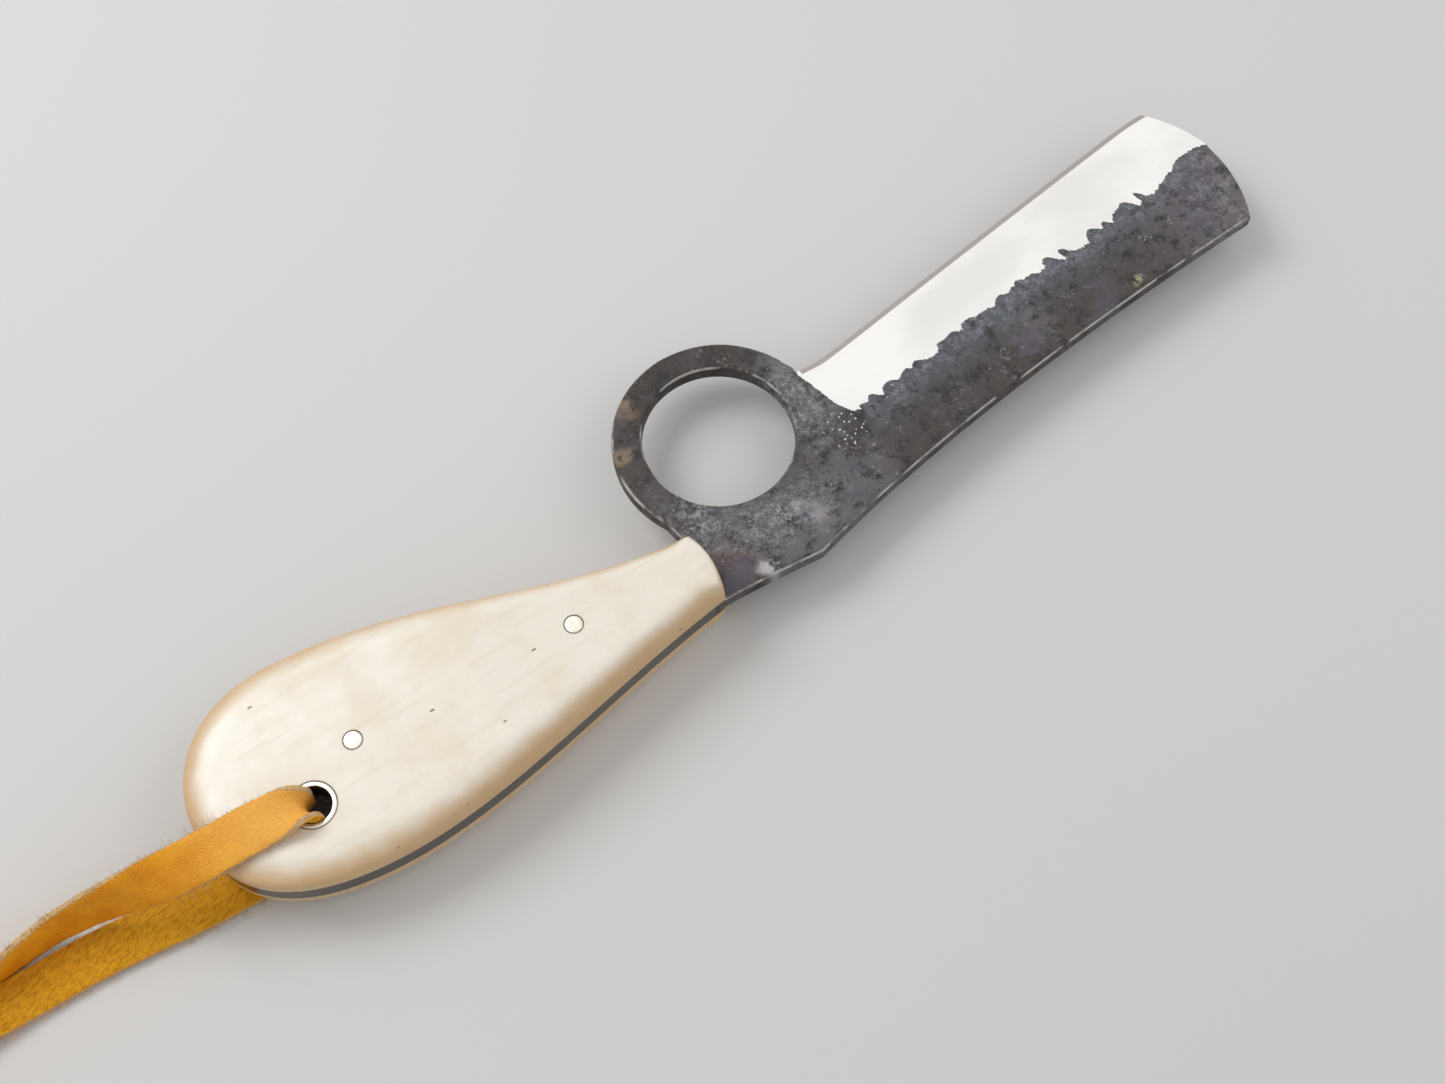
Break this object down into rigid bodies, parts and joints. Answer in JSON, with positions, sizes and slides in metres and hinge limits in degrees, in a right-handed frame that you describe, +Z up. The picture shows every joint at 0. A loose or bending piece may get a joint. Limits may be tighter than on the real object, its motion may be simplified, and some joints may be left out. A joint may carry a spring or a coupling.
{
  "type": "leather knife with finger ring",
  "caption": "Forged cleaver-shaped leather knife with a finger ring, a full tang, two pinned bone scales and a knotted flat leather thong through a lanyard tube.",
  "frame": {"origin": "on the surface that the knife lies on, below the middle of the knife's outline; the thong isn't counted", "axes": "+X from butt to tip, +Y towards the cutting edge and the finger ring, +Z up through the front face, square to the blade"},
  "size_m": [0.3155, 0.0634, 0.0175],
  "materials": {
    "forged_steel": "dark forge skin, with a bright ground and polished bevel along the edge",
    "bone": "polished cream bone, semi-gloss",
    "pin_metal": "dressed flush and polished",
    "tube_metal": "dressed flush and polished",
    "thong_leather": "natural veg-tan grain on one side, suede on the other"
  },
  "bodies": {
    "root": {"blade": "forged_steel", "front_scale": "bone", "back_scale": "bone", "front_pin": "pin_metal", "rear_pin": "pin_metal", "lanyard_tube": "tube_metal", "thong": "thong_leather", "thong_knot": "thong_leather"}
  },
  "joints": []
}
